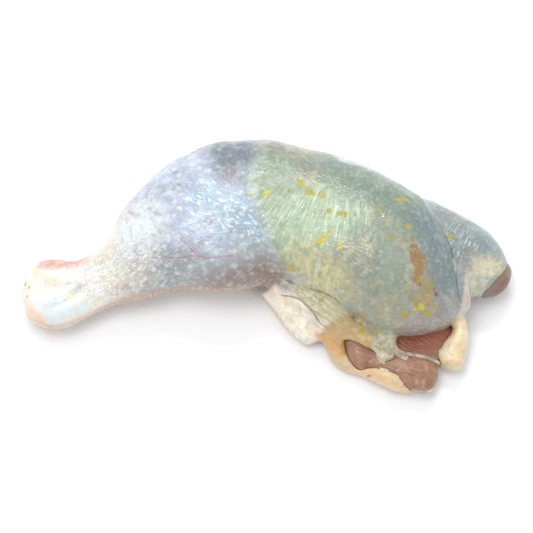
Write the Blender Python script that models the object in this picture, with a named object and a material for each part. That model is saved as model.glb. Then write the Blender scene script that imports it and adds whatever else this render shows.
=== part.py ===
"""A raw chicken leg, drumstick and thigh in one piece with the skin on, lying with its outer side up.

The leg is two closed solids: the flesh, which runs through the whole leg and shows where the skin is torn,
and the skin with its fat, which is a sleeve round the flesh with folds hanging from it.
Both are made the same way. Each muscle or fold is a loft of oval sections along its own line, the lofts are
melted into one body, and what would be lower than the board is pressed flat on it.

Units are metres and +Z is up. The origin is on the board, under the middle of the leg. +X runs from the
hock to the hip, and +Y from the fold behind the knee to the front of the knee.
"""

import math
from collections import namedtuple

import bpy
import bmesh
from mathutils import Matrix, Vector

# Driving sizes
SKIN = 0.0020  # thickness of the skin with the fat under it
GAP = 0.0007  # clearance between the skin and the flesh
RING_STEP = 0.0025  # distance between the sections of a loft
RING_POINTS = 28
CAP_RINGS = 4  # sections that round off each end of a loft
BODY_GRAIN = 0.0018  # size of the cells in which the muscles are melted together
BODY_PASSES = 10  # smoothing passes that turn their joins into valleys
BODY_FACES = 4600
FOLD_GRAIN = 0.0012
FOLD_PASSES = 4
FOLD_FACES = 1800
FLESH_FACES = 3200
RAGGED = 0.0006  # how far the torn edges wander
CRUMB = 30  # a loose piece with fewer vertices is a speck

# A section of a loft: the middle of its oval, half its width across the board and half its height.
Section = namedtuple("Section", "x y z half_width half_height")

# The muscles, each from the hock side to the hip side
DRUMSTICK = (
    Section(-0.1082, -0.0084, 0.0103, 0.0070, 0.0069),
    Section(-0.1050, -0.0102, 0.0099, 0.0099, 0.0077),
    Section(-0.0994, -0.0111, 0.0095, 0.0125, 0.0073),
    Section(-0.0920, -0.0102, 0.0099, 0.0130, 0.0082),
    Section(-0.0845, -0.0082, 0.0112, 0.0133, 0.0099),
    Section(-0.0762, -0.0039, 0.0120, 0.0139, 0.0112),
    Section(-0.0669, -0.0001, 0.0138, 0.0160, 0.0133),
    Section(-0.0592, 0.0045, 0.0155, 0.0202, 0.0159),
    Section(-0.0493, 0.0119, 0.0181, 0.0260, 0.0194),
    Section(-0.0338, 0.0189, 0.0206, 0.0334, 0.0224),
    Section(-0.0139, 0.0252, 0.0211, 0.0368, 0.0232),
    Section(-0.0058, 0.0273, 0.0202, 0.0341, 0.0224),
    Section(0.0007, 0.0298, 0.0185, 0.0293, 0.0202),
)
KNEE = (
    Section(-0.0165, 0.0309, 0.0206, 0.0292, 0.0219),
    Section(-0.0091, 0.0322, 0.0211, 0.0294, 0.0224),
    Section(-0.0012, 0.0327, 0.0211, 0.0289, 0.0224),
    Section(0.0091, 0.0307, 0.0211, 0.0275, 0.0228),
    Section(0.0202, 0.0250, 0.0215, 0.0293, 0.0232),
)
THIGH = (
    Section(-0.0044, 0.0301, 0.0189, 0.0259, 0.0194),
    Section(0.0030, 0.0288, 0.0202, 0.0299, 0.0219),
    Section(0.0109, 0.0267, 0.0211, 0.0312, 0.0232),
    Section(0.0193, 0.0240, 0.0215, 0.0321, 0.0232),
    Section(0.0300, 0.0189, 0.0224, 0.0329, 0.0241),
    Section(0.0417, 0.0126, 0.0228, 0.0326, 0.0245),
    Section(0.0535, 0.0049, 0.0224, 0.0323, 0.0245),
    Section(0.0635, -0.0015, 0.0211, 0.0314, 0.0228),
    Section(0.0723, -0.0045, 0.0194, 0.0297, 0.0206),
    Section(0.0788, -0.0061, 0.0176, 0.0266, 0.0172),
    Section(0.0830, -0.0081, 0.0163, 0.0199, 0.0129),
)
THIGH_CORNER = (
    Section(0.0420, -0.0066, 0.0189, 0.0136, 0.0189),
    Section(0.0510, -0.0114, 0.0189, 0.0171, 0.0194),
    Section(0.0601, -0.0142, 0.0185, 0.0187, 0.0189),
    Section(0.0702, -0.0153, 0.0176, 0.0166, 0.0176),
    Section(0.0776, -0.0158, 0.0168, 0.0150, 0.0159),
    Section(0.0837, -0.0160, 0.0155, 0.0122, 0.0133),
    Section(0.0870, -0.0162, 0.0146, 0.0090, 0.0103),
)
HIP = (
    Section(0.0720, 0.0232, 0.0181, 0.0103, 0.0125),
    Section(0.0840, 0.0167, 0.0168, 0.0110, 0.0125),
    Section(0.0921, 0.0089, 0.0163, 0.0136, 0.0146),
    Section(0.0986, 0.0011, 0.0146, 0.0141, 0.0138),
    Section(0.1035, -0.0038, 0.0125, 0.0119, 0.0107),
)
# The two knobs of the hock joint, with the groove between them
UPPER_CONDYLE = (
    Section(-0.1088, -0.0048, 0.0112, 0.0080, 0.0073),
    Section(-0.1016, -0.0034, 0.0133, 0.0085, 0.0090),
    Section(-0.0928, -0.0036, 0.0133, 0.0082, 0.0090),
    Section(-0.0846, -0.0023, 0.0125, 0.0068, 0.0082),
)
LOWER_CONDYLE = (
    Section(-0.1055, -0.0163, 0.0103, 0.0078, 0.0082),
    Section(-0.0997, -0.0190, 0.0112, 0.0086, 0.0099),
    Section(-0.0924, -0.0185, 0.0112, 0.0081, 0.0099),
    Section(-0.0843, -0.0140, 0.0107, 0.0072, 0.0090),
    Section(-0.0770, -0.0094, 0.0116, 0.0063, 0.0077),
)
# Skin and fat that hang from the muscles
KNEE_FOLD = (
    Section(-0.0063, -0.0049, 0.0065, 0.0020, 0.0043),
    Section(0.0002, -0.0076, 0.0065, 0.0035, 0.0056),
    Section(0.0077, -0.0140, 0.0065, 0.0055, 0.0065),
    Section(0.0150, -0.0228, 0.0065, 0.0062, 0.0069),
    Section(0.0205, -0.0293, 0.0056, 0.0050, 0.0056),
)
KNEE_WEB = (
    Section(-0.0021, -0.0036, 0.0120, 0.0027, 0.0060),
    Section(0.0053, -0.0064, 0.0129, 0.0037, 0.0069),
    Section(0.0136, -0.0106, 0.0138, 0.0055, 0.0077),
    Section(0.0223, -0.0164, 0.0138, 0.0072, 0.0086),
    Section(0.0309, -0.0226, 0.0133, 0.0077, 0.0086),
    Section(0.0391, -0.0272, 0.0129, 0.0067, 0.0082),
    Section(0.0455, -0.0309, 0.0125, 0.0052, 0.0073),
    Section(0.0519, -0.0326, 0.0116, 0.0043, 0.0065),
)
BELLY_FOLD = (
    Section(0.0302, -0.0291, 0.0065, 0.0043, 0.0060),
    Section(0.0329, -0.0358, 0.0047, 0.0055, 0.0052),
    Section(0.0370, -0.0408, 0.0039, 0.0051, 0.0047),
    Section(0.0443, -0.0432, 0.0047, 0.0050, 0.0060),
    Section(0.0528, -0.0470, 0.0060, 0.0056, 0.0069),
    Section(0.0600, -0.0503, 0.0062, 0.0059, 0.0071),
    Section(0.0653, -0.0526, 0.0052, 0.0043, 0.0054),
)
LOWER_LIP = (
    Section(0.0364, -0.0346, 0.0009, 0.0068, 0.0031),
    Section(0.0479, -0.0384, 0.0009, 0.0092, 0.0033),
    Section(0.0607, -0.0423, 0.0009, 0.0107, 0.0033),
    Section(0.0707, -0.0461, 0.0009, 0.0091, 0.0031),
    Section(0.0729, -0.0499, 0.0009, 0.0046, 0.0028),
)
FAT_LOBE = (
    Section(0.0870, -0.0218, 0.0125, 0.0032, 0.0052),
    Section(0.0888, -0.0262, 0.0112, 0.0037, 0.0056),
    Section(0.0885, -0.0311, 0.0099, 0.0043, 0.0069),
    Section(0.0862, -0.0358, 0.0082, 0.0062, 0.0073),
    Section(0.0831, -0.0408, 0.0073, 0.0078, 0.0069),
)
SLIVER = (
    Section(0.0905, -0.0063, 0.0211, 0.0022, 0.0047),
    Section(0.0908, -0.0109, 0.0202, 0.0026, 0.0047),
    Section(0.0909, -0.0156, 0.0185, 0.0029, 0.0052),
    Section(0.0909, -0.0189, 0.0155, 0.0028, 0.0052),
)
EDGE_ROLL = (
    Section(0.0251, -0.0304, 0.0077, 0.0019, 0.0043),
    Section(0.0309, -0.0307, 0.0103, 0.0023, 0.0039),
    Section(0.0372, -0.0311, 0.0129, 0.0026, 0.0039),
    Section(0.0421, -0.0328, 0.0146, 0.0031, 0.0039),
    Section(0.0461, -0.0351, 0.0150, 0.0032, 0.0034),
    Section(0.0502, -0.0364, 0.0146, 0.0024, 0.0033),
)
TORN_FAT = (
    Section(0.0552, -0.0325, 0.0159, 0.0041, 0.0043),
    Section(0.0541, -0.0367, 0.0142, 0.0055, 0.0031),
    Section(0.0536, -0.0402, 0.0133, 0.0059, 0.0028),
    Section(0.0515, -0.0433, 0.0125, 0.0039, 0.0024),
)
BACK_FOLD = (
    Section(0.0243, 0.0536, 0.0189, 0.0023, 0.0030),
    Section(0.0370, 0.0500, 0.0189, 0.0027, 0.0034),
    Section(0.0469, 0.0469, 0.0189, 0.0027, 0.0034),
)
# Flesh that shows where the skin is torn
NEAR_MUSCLE = (
    Section(0.0411, -0.0321, 0.0086, 0.0055, 0.0052),
    Section(0.0433, -0.0379, 0.0086, 0.0064, 0.0056),
    Section(0.0455, -0.0424, 0.0077, 0.0055, 0.0052),
)
LOWER_MUSCLE = (
    Section(0.0492, -0.0414, 0.0077, 0.0050, 0.0052),
    Section(0.0582, -0.0444, 0.0082, 0.0065, 0.0056),
    Section(0.0663, -0.0470, 0.0082, 0.0079, 0.0060),
    Section(0.0738, -0.0503, 0.0073, 0.0070, 0.0056),
)
DEEP_MUSCLE = (
    Section(0.0467, -0.0350, 0.0069, 0.0057, 0.0039),
    Section(0.0577, -0.0346, 0.0073, 0.0067, 0.0039),
    Section(0.0682, -0.0341, 0.0073, 0.0077, 0.0039),
    Section(0.0779, -0.0327, 0.0073, 0.0096, 0.0039),
    Section(0.0855, -0.0286, 0.0073, 0.0062, 0.0039),
)
HIP_END = (
    Section(0.0988, -0.0073, 0.0086, 0.0034, 0.0069),
    Section(0.1038, -0.0067, 0.0095, 0.0044, 0.0077),
    Section(0.1081, -0.0034, 0.0099, 0.0047, 0.0077),
    Section(0.1102, 0.0016, 0.0099, 0.0039, 0.0069),
)
# What is torn away from the skin
TEAR = (
    Section(0.0392, -0.0386, 0.0077, 0.0074, 0.0069),
    Section(0.0497, -0.0386, 0.0077, 0.0094, 0.0069),
    Section(0.0635, -0.0376, 0.0077, 0.0114, 0.0073),
    Section(0.0774, -0.0347, 0.0077, 0.0104, 0.0073),
    Section(0.0880, -0.0319, 0.0077, 0.0065, 0.0060),
)
HIP_TEAR = (
    Section(0.0946, -0.0194, 0.0112, 0.0013, 0.0172),
    Section(0.1036, -0.0132, 0.0120, 0.0041, 0.0181),
    Section(0.1113, -0.0073, 0.0120, 0.0051, 0.0181),
    Section(0.1164, 0.0018, 0.0120, 0.0029, 0.0172),
)

MUSCLES = (DRUMSTICK, KNEE, THIGH, THIGH_CORNER, HIP, UPPER_CONDYLE, LOWER_CONDYLE)
BARE_MUSCLES = (NEAR_MUSCLE, LOWER_MUSCLE, DEEP_MUSCLE, HIP_END)
FOLDS = (KNEE_FOLD, KNEE_WEB, BELLY_FOLD, LOWER_LIP, EDGE_ROLL, SLIVER, FAT_LOBE, TORN_FAT, BACK_FOLD)
TEARS = (TEAR, HIP_TEAR)


def between(a, b, c, d, share):
    """The Catmull-Rom value at this share of the way from b to c."""
    return 0.5 * (
        2 * b
        + (c - a) * share
        + (2 * a - 5 * b + 4 * c - d) * share**2
        + (3 * b - a - 3 * c + d) * share**3
    )


def smooth_sections(sections):
    """Sections about RING_STEP apart on one smooth line through the given ones."""
    found = []
    for i in range(len(sections) - 1):
        before = sections[max(i - 1, 0)]
        after = sections[min(i + 2, len(sections) - 1)]
        here, there = sections[i], sections[i + 1]
        steps = max(2, round(math.dist(here[:3], there[:3]) / RING_STEP))
        for step in range(steps):
            values = zip(before, here, there, after)
            found.append(Section(*(between(*four, step / steps) for four in values)))
    found.append(sections[-1])
    return found


def rounded_end(section, outwards):
    """Ever smaller sections that round off the end of a loft, from the end section outwards."""
    reach = min(section.half_width, section.half_height) * 0.7
    found = []
    for ring in range(1, CAP_RINGS + 1):
        turn = math.radians(85) * ring / CAP_RINGS
        middle = Vector(section[:3]) + outwards * reach * math.sin(turn)
        shrink = math.cos(turn)
        found.append(Section(*middle, section.half_width * shrink, section.half_height * shrink))
    return found


def add_ring(form, section, along):
    """One oval of points, upright and square to the loft's line."""
    across = Vector((-along.y, along.x, 0)).normalized()
    points = []
    for i in range(RING_POINTS):
        turn = math.tau * i / RING_POINTS
        offset = across * section.half_width * math.cos(turn)
        offset.z += section.half_height * math.sin(turn)
        points.append(form.verts.new(Vector(section[:3]) + offset))
    return points


def add_loft(form, sections, inset):
    """Adds a closed loft through the sections to a bmesh, thinner all round by the inset."""
    line = [
        s._replace(half_width=s.half_width - inset, half_height=s.half_height - inset)
        for s in smooth_sections(sections)
    ]
    trimmed = round(inset / RING_STEP)
    line = line[trimmed : len(line) - trimmed]
    start = (Vector(line[0][:3]) - Vector(line[1][:3])).normalized()
    end = (Vector(line[-1][:3]) - Vector(line[-2][:3])).normalized()
    line = rounded_end(line[0], start)[::-1] + line + rounded_end(line[-1], end)
    rings = []
    for i, section in enumerate(line):
        last, following = line[max(i - 1, 0)], line[min(i + 1, len(line) - 1)]
        rings.append(add_ring(form, section, Vector(following[:3]) - Vector(last[:3])))
    for one, other in zip(rings, rings[1:]):
        for i in range(RING_POINTS):
            j = (i + 1) % RING_POINTS
            form.faces.new((one[i], one[j], other[j], other[i]))
    form.faces.new(rings[0][::-1])
    form.faces.new(rings[-1])


def lofted(name, lofts):
    """An object of one closed shell for each (sections, inset) pair."""
    form = bmesh.new()
    for sections, inset in lofts:
        add_loft(form, sections, inset)
    bmesh.ops.recalc_face_normals(form, faces=form.faces)
    mesh = bpy.data.meshes.new(name)
    form.to_mesh(mesh)
    form.free()
    made = bpy.data.objects.new(name, mesh)
    bpy.context.scene.collection.objects.link(made)
    return made


def apply_modifiers(thing):
    """Gives the object the mesh that its modifiers make, and removes them."""
    graph = bpy.context.evaluated_depsgraph_get()
    mesh = bpy.data.meshes.new_from_object(thing.evaluated_get(graph))
    thing.modifiers.clear()
    thing.data = mesh


def press_flat(thing, floor):
    """Moves what is lower than the floor up to it, as soft meat flattens on a board."""
    for vertex in thing.data.vertices:
        vertex.co.z = max(vertex.co.z, floor)


def drop_crumbs(thing):
    """Removes the specks that melting and tearing leave beside the body."""
    form = bmesh.new()
    form.from_mesh(thing.data)
    crumbs = []
    left = set(form.verts)
    while left:
        piece = {left.pop()}
        front = set(piece)
        while front:
            front = {e.other_vert(v) for v in front for e in v.link_edges} - piece
            piece |= front
        left -= piece
        if len(piece) < CRUMB:
            crumbs.extend(piece)
    bmesh.ops.delete(form, geom=crumbs, context="VERTS")
    form.to_mesh(thing.data)
    form.free()


def melted(name, lofts, grain, passes, faces, floor):
    """One closed body from (sections, inset) pairs, with about this many triangles."""
    body = lofted(name, lofts)
    melt = body.modifiers.new("Melt", "REMESH")
    melt.mode = "VOXEL"
    melt.voxel_size = grain
    soften = body.modifiers.new("Soften", "SMOOTH")
    soften.factor = 0.5
    soften.iterations = passes
    apply_modifiers(body)
    press_flat(body, floor)
    thin = body.modifiers.new("Thin", "DECIMATE")
    thin.ratio = faces / (2 * len(body.data.polygons))
    apply_modifiers(body)
    press_flat(body, floor)
    drop_crumbs(body)
    return body


def combine(thing, operation, other):
    """Adds the other object to this one or cuts it out of it, and removes the other object."""
    join = thing.modifiers.new(other.name, "BOOLEAN")
    join.operation = operation
    join.object = other
    apply_modifiers(thing)
    bpy.data.objects.remove(other)


def material(name, colour, roughness):
    made = bpy.data.materials.new(name)
    made.use_nodes = True
    shader = made.node_tree.nodes["Principled BSDF"]
    shader.inputs["Base Color"].default_value = (*colour, 1)
    shader.inputs["Roughness"].default_value = roughness
    shader.inputs["Metallic"].default_value = 0
    return made


def melted_flesh(name, clearance):
    """The muscles less the skin over them, with the bare ones, grown all round by the clearance."""
    inset = SKIN + GAP - clearance
    lofts = [(muscle, inset) for muscle in MUSCLES]
    lofts += [(muscle, -clearance) for muscle in BARE_MUSCLES]
    return melted(name, lofts, BODY_GRAIN, BODY_PASSES, FLESH_FACES, inset)


def make_tear(name, sections):
    """What is torn from the skin: a loft whose surface wanders a little, for a ragged edge."""
    tear = lofted(name, [(sections, 0)])
    for vertex in tear.data.vertices:
        x = vertex.co.x
        vertex.co.z += RAGGED * (math.sin(x * 1900) + 0.6 * math.sin(x * 4300 + 1))
        vertex.co.y += RAGGED * math.sin(x * 2700 + 2)
    return tear


def make_flesh():
    flesh = melted_flesh("flesh", 0)
    flesh.data.materials.append(material("raw flesh", (0.42, 0.18, 0.13), 0.35))
    return flesh


def make_skin():
    """The skin: the muscles' outside, torn open, with its folds, and hollowed out for the flesh."""
    muscles = [(muscle, 0) for muscle in MUSCLES]
    skin = melted("skin", muscles, BODY_GRAIN, BODY_PASSES, BODY_FACES, 0)
    folds = melted("folds", [(fold, 0) for fold in FOLDS], FOLD_GRAIN, FOLD_PASSES, FOLD_FACES, 0)
    for i, sections in enumerate(TEARS):
        combine(skin, "DIFFERENCE", make_tear(f"tear {i + 1}", sections))
    combine(skin, "UNION", folds)
    combine(skin, "DIFFERENCE", melted_flesh("hollow", GAP))
    drop_crumbs(skin)
    skin.data.materials.append(material("raw skin", (0.62, 0.62, 0.50), 0.35))
    return skin


def centre_on_board(things):
    """Moves the meshes so that the middle of their common box is over the origin."""
    corners = [v.co for thing in things for v in thing.data.vertices]
    middle = [(min(c[axis] for c in corners) + max(c[axis] for c in corners)) / 2 for axis in (0, 1)]
    for thing in things:
        thing.data.transform(Matrix.Translation((-middle[0], -middle[1], 0)))


def main():
    for thing in list(bpy.data.objects):
        bpy.data.objects.remove(thing)
    flesh = make_flesh()
    skin = make_skin()
    centre_on_board((flesh, skin))
    for thing in (flesh, skin):
        thing.data.shade_smooth()


main()
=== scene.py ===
"""A raw chicken leg, drumstick and thigh in one piece with the skin on, lying on a white board.

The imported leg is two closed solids, the flesh and the skin. Each is taken over by a finer mesh of the same
form: the skin gets its creases, feather follicles, ridges and fine wrinkles, and the bare flesh its fibres.
Loose membranes and a scrap of fat are pieces of their own. Marks are placed in plan, in millimetres from
the middle of the leg, and dropped on the skin. The knuckle points to -X and the hip to +X.
"""

import math
from collections import namedtuple

import bpy
import numpy as np
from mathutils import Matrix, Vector, bvhtree


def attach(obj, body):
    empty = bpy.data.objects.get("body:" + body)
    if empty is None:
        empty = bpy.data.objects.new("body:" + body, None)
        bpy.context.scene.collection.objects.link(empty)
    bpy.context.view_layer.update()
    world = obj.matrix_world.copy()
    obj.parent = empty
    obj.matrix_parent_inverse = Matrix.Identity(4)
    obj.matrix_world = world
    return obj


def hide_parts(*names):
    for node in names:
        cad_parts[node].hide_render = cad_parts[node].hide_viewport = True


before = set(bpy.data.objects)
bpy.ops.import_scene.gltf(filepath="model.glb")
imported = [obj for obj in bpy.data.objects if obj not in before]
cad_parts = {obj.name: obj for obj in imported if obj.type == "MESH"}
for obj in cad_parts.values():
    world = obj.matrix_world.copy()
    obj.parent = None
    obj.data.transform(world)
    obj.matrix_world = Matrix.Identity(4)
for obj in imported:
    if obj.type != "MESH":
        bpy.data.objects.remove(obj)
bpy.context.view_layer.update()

# ---------------------------- sizes

MM = 0.001
SKIN_CELL = 0.8 * MM  # cell in which the skin's mesh is made even
FLESH_CELL = 1.0 * MM
SKIN_SMOOTHING = 10
FLESH_SMOOTHING = 12
FLESH_SWELLING = 0.8 * MM  # closes the slit between the flesh and the torn skin's edge
HIDDEN_WALL = 1.6 * MM  # a skin vertex this near the flesh is on the inner wall
REACH = 14 * MM  # marks are measured no further than this
STRIP_STEP = 0.6 * MM  # between the points of a loose strip
STRIP_WAVE = 3.2 * MM  # size of its waves
STRIP_TAPER = 0.85  # how much thinner its ends are

# The camera stands over the near side of the board.
PHOTO_SIDE = 533  # pixels
FOCAL_PIXELS = 1480
SENSOR = 36  # millimetres
CAMERA_HEIGHT_ANGLE = 70  # degrees above the board
CAMERA_DISTANCE = 0.6808
CAMERA_TARGET = Vector((0.00003, -0.00257, 0.019))
LIGHT_TARGET = Vector((-0.01, 0, 0.02))

# ---------------------------- landmarks

# All of these are in millimetres.

# Where the drumstick's thin bluish skin gives way to the thigh's fat yellow skin: y, then x at that y
KNEE_LINE = (
    (-14, 9), (-11, 8), (-4, 5), (1, 2), (7, -2), (16, -6), (23, -9), (31, -10), (36, -9), (41, -7),
    (48, -5),
)

# Creases: points in plan, depth, half width, and how much lower the skin is past the crease
Crease = namedtuple("Crease", "points depth half_width step")
# Creases deeper than this also get a painted shade line along them
DARK_DEPTH = 0.6  # deeper creases are dark
CREASES = {
    "hip": Crease((
        (70, 26), (72, 22), (74, 17), (79, 13), (82, 7), (85, -1), (86, -7), (87, -16), (88, -21),
    ), 0.9, 0.9, 1.0),
    "knuckle": Crease(((-104, -22), (-101, -22), (-96, -20), (-91, -18), (-86, -14)), 0.6, 2.2, 0.0),
    "fold": Crease((
        (7, -15), (11, -17), (15, -19), (18, -22), (21, -25), (24, -29), (27, -31),
    ), 1.0, 0.6, 0.0),
    "web": Crease((
        (9, -10), (15, -13), (22, -16), (26, -18), (31, -21), (36, -25), (41, -29),
    ), 0.8, 0.7, 0.0),
    "slit": Crease(((41, -50.5), (44, -51.5), (47, -52)), 0.9, 0.6, 0.0),
}

# The ragged lower edge of the thigh's skin, where it is torn off
TEAR_LINE = ((49, -40), (52, -39), (58, -39), (68, -35), (73, -34), (78, -33), (85, -30), (90, -26))

# Thin vessels under the drumstick's skin
VESSELS = (
    ((-39, 4), (-35, 0), (-31, -4)),
    ((-46, -3), (-39, -4), (-31, -4), (-26, -5), (-15, -4)),
)

# Flecks of yellow cuticle, two stains, some blood, and painted rim glow on a far edge: x, y, radius
SPOTS = {
    "yolk": (
        (0, 24, 1.3), (24, 1, 1.4), (26, 2.5, 1.2), (28, 4.5, 0.8), (69, -27, 1.4), (66, -28, 0.9),
        (33, -2, 1.0), (-111, -10, 0.9), (-109, -12, 0.6), (-110, -16, 0.7),
    ),
    "mustard": (
        (14, 30, 1.2), (16, 28, 1.6), (19, 24, 1.6), (21, 23, 1.1), (25, 22, 1.4), (10, 25, 0.8),
        (28, 14, 1.0), (33, 13, 1.2), (35, 12, 1.0), (60, 21, 1.6), (63, 22, 1.1), (63, 7, 1.2),
        (54, 1, 1.0), (50, 15, 0.8), (11, -7, 1.5), (12, -8, 1.1), (24, -17, 1.0), (25, -20, 0.9),
        (63, -20, 1.0), (61, -30, 1.2), (63, -30, 0.9), (50, -33, 1.3), (52, -34, 1.0), (76, -26, 1.1),
        (72, -29, 1.6), (43, -34, 1.3), (84, 8, 1.4), (37, -37, 1.4), (38, -40, 1.8), (22, -36, 1.8),
    ),
    "stain_and_edge_glow": (
        # A stain on the thigh, then two spots of painted warm rim glow on the drumstick's far edge
        (65, 1, 0.9), (65.5, -2, 1.5), (66, -5, 2.2), (67.5, -7, 2.8), (68.5, -10, 2.5), (67.5, -13, 2.0),
        (66, -16, 1.5), (-33, 50, 1.8), (-31, 51, 1.3),
    ),
    "ochre": (
        (68, -17, 1.8), (71, -17, 2.2), (73, -19, 2.2), (70, -22, 2.6), (72, -24, 2.4), (68, -26, 2.0),
        (64, -24, 1.2), (75, -15, 1.0),
    ),
    "blood": ((76, -21, 1.0), (68, -18, 0.7), (75, -19, 0.6)),
}

# Ovals in plan: middle x and y, half length and half width
WRINKLED_NECK = (-60, -8, 46, 20)
STREAKED_LOBE = (89, 6, 11, 13)
BARE_HIP = (108, -8, 14, 14)
TORN_SIDE = -28  # the flesh is bare nearer than this y
LOBE_START = 68  # the hip's lobe has no part at a smaller x
LOBE_NEAR_EDGE = -24  # or nearer than this y

# Patches of colour in plan: how far the edge fades, the outline, and the lowest and highest z, which
# only matter where one part of the leg lies over another
Patch = namedtuple("Patch", "fade outline low high", defaults=(0, 60))
PATCHES = {
    "knuckle": Patch(10, (
        (-121, 14), (-97, 12), (-85, 8), (-76, -2), (-70, -10), (-71, -19), (-81, -30), (-99, -38),
        (-120, -33),
    )),
    "neck": Patch(14, (
        (-85, 15), (-76, 16), (-65, 22), (-54, 22), (-50, 8), (-54, -6), (-58, -20), (-76, -33),
        (-88, -30),
    )),
    "shin": Patch(8, ((-68, 14), (-55, 22), (-46, 12), (-54, 0), (-68, -2))),
    "blush": Patch(5, ((-109, 7), (-84, 7), (-83, -1), (-94, -5), (-106, -4))),
    # Painted highlight on the knuckle's lower knob
    "knob_highlight": Patch(5, ((-97, -19), (-85, -14), (-80, -18), (-84, -26), (-96, -29), (-101, -25))),
    # Painted shade in the groove across the knuckle
    "groove_shade": Patch(2.5, (
        (-102, -24), (-95, -22.5), (-87, -17), (-82, -12), (-86, -11), (-92, -16), (-100, -20),
    )),
    "peach_end": Patch(5, ((-117, -17), (-109, -19), (-101, -27), (-96, -37), (-116, -36))),
    # Painted shade in a hollow of the neck
    "hollow": Patch(5, ((-70, -1), (-64, 0), (-56, -3), (-58, -7), (-67, -8), (-71, -6))),
    "mauve": Patch(7, (
        (-26, 64), (-14, 66), (-6, 50), (-3, 46), (-5, 36), (-10, 28), (-18, 28), (-23, 34), (-26, 43),
    )),
    "mauve_core": Patch(4, ((-20, 38), (-13, 39), (-12, 31), (-17, 27), (-22, 31))),
    # Painted shade along the drumstick's far top edge
    "far_edge_shade": Patch(6, ((-30, 69), (12, 69), (10, 47), (-8, 45), (-19, 46), (-30, 48))),
    # Painted highlight: the patch on the drumstick's top where the lamps' reflection is painted in
    "drum_highlight": Patch(7, (
        (-33, 28), (-25, 26), (-12, 22), (-6, 17), (-1, 7), (-2, 2), (-11, 1), (-18, 4), (-27, 15),
        (-34, 19),
    ), 20),
    # Painted shade over the drumstick's lower side
    "lower_side_shade": Patch(7, (
        (-55, -3), (-48, -1), (-34, -1), (-23, -5), (-14, 0), (-5, 4), (2, 2), (9, -8), (12, -22),
        (-35, -22), (-58, -16),
    )),
    # Painted shade along the drumstick's lower rim
    "lower_rim_shade": Patch(5, ((-34, -13), (-12, -8), (0, -3), (9, -6), (12, -22), (-34, -22))),
    "glint": Patch(2.5, ((4, -11), (9, -9), (17, -13), (14, -17), (8, -15)), 8, 33),
    "lime": Patch(8, ((-6, 46), (8, 48), (15, 40), (17, 30), (8, 23), (-2, 23), (-8, 28))),
    "fan": Patch(7, (
        (-7, 24), (8, 27), (21, 27), (35, 22), (45, 15), (45, 6), (35, 0), (20, -1), (10, -5), (4, -3),
        (0, 7), (-5, 15),
    )),
    "grey_back": Patch(5, ((12, 60), (45, 60), (48, 40), (36, 36), (27, 37), (18, 31), (12, 36))),
    "teal": Patch(10, (
        (25, 60), (52, 60), (75, 40), (79, 15), (71, 2), (60, 6), (47, 15), (35, 21), (26, 30),
    )),
    "honey": Patch(8, (
        (4, -2), (12, 1), (22, -3), (32, -11), (37, -19), (31, -22), (22, -19), (13, -15), (8, -10),
    ), 20),
    "cool": Patch(8, (
        (37, 8), (50, 7), (60, -4), (64, -13), (64, -23), (55, -27), (45, -24), (38, -8),
    ), 20),
    "slate": Patch(8, (
        (65, 16), (75, 21), (81, 13), (87, 1), (90, -19), (80, -24), (73, -20), (70, -8), (67, 3),
    )),
    "lilac": Patch(7, ((70, -24), (91, -19), (94, -27), (82, -34), (68, -40), (58, -44), (57, -36))),
    "lobe_cream": Patch(4, (
        (92, -8), (96, -3), (102, 0), (108, -1), (107, -7), (100, -13), (94, -16), (92, -13),
    )),
    # The hip lobe's end: the brown of bared flesh, with painted shade where it turns away
    "lobe_end_flesh_and_shade": Patch(3, ((108, 13), (118, 8), (118, -18), (96, -20), (101, -13), (109, -5), (110, 3))),
    # Painted warm rim glow along the thigh's far edge
    "thigh_edge_glow": Patch(2.5, ((15, 62), (15, 51), (24, 48.5), (33, 45.5), (37, 62))),
    "back_scrap": Patch(1.4, (
        (32, 47), (33, 43), (39, 41), (44, 40), (50, 38), (51, 42), (44, 45), (38, 46),
    ), 20),
    "web": Patch(2, (
        (8, -10), (15, -13), (22, -16), (31, -21), (41, -29), (46, -36), (38, -34), (33, -32), (27, -31),
        (21, -25), (18, -21), (13, -17),
    ), 10, 33),
    "knee_fold": Patch(1.6, (
        (-7, -14.5), (0, -13), (4, -11), (8, -14), (14, -17), (18, -21), (21, -25), (24, -28), (28, -30),
        (27, -36), (23, -43), (12, -43), (0, -28), (-10, -17),
    ), -1, 21),
    "fold_tip": Patch(1.6, ((-13, -15), (-5, -12), (2, -13), (2, -24), (-6, -21)), -1, 16),
    "belly": Patch(1.6, (
        (24, -34), (27, -30), (33, -31), (38, -31), (43, -32), (48, -36), (51, -41), (56, -46), (70, -52),
        (80, -52), (80, -64), (60, -68), (38, -60), (22, -48),
    ), -1, 26),
    "rolled": Patch(1.5, (
        (24, -33), (30, -29), (36, -26), (43, -28), (48, -36), (52, -41), (49, -43), (43, -39), (37, -38),
        (30, -36.5), (25, -36),
    ), 9, 26),
    "amber": Patch(3, ((23, -32), (34, -33), (38, -39), (38, -48), (39, -56), (27, -48)), -1, 15),
    "fat_lobe": Patch(1.6, (
        (88, -25), (95, -25), (97, -38), (92, -52), (82, -56), (73, -50), (75, -41), (80, -36), (84, -31),
    ), -1, 22),
    "scrap": Patch(1.6, ((48, -39), (53, -36), (61, -35), (62, -48), (55, -51), (46, -48)), 5, 22),
    "sliver": Patch(1.0, ((91, -8), (93, -8), (95, -23), (88, -25), (89.5, -17)), 5, 35),
}
# The same on the bare flesh
FLESH_PATCHES = {
    "deep": Patch(3, ((58, -30), (92, -20), (88, -31), (80, -38), (74, -41), (66, -41), (60, -40)), -1, 30),
    "hip": Patch(3, ((94, -22), (98, -10), (108, -2), (120, 6), (122, -24)), -1, 40),
    "silver": Patch(2, (
        (96, -15), (102, -6), (110, 1), (117, 5), (117, -2), (110, -8), (102, -15),
    ), -1, 40),
}

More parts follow.
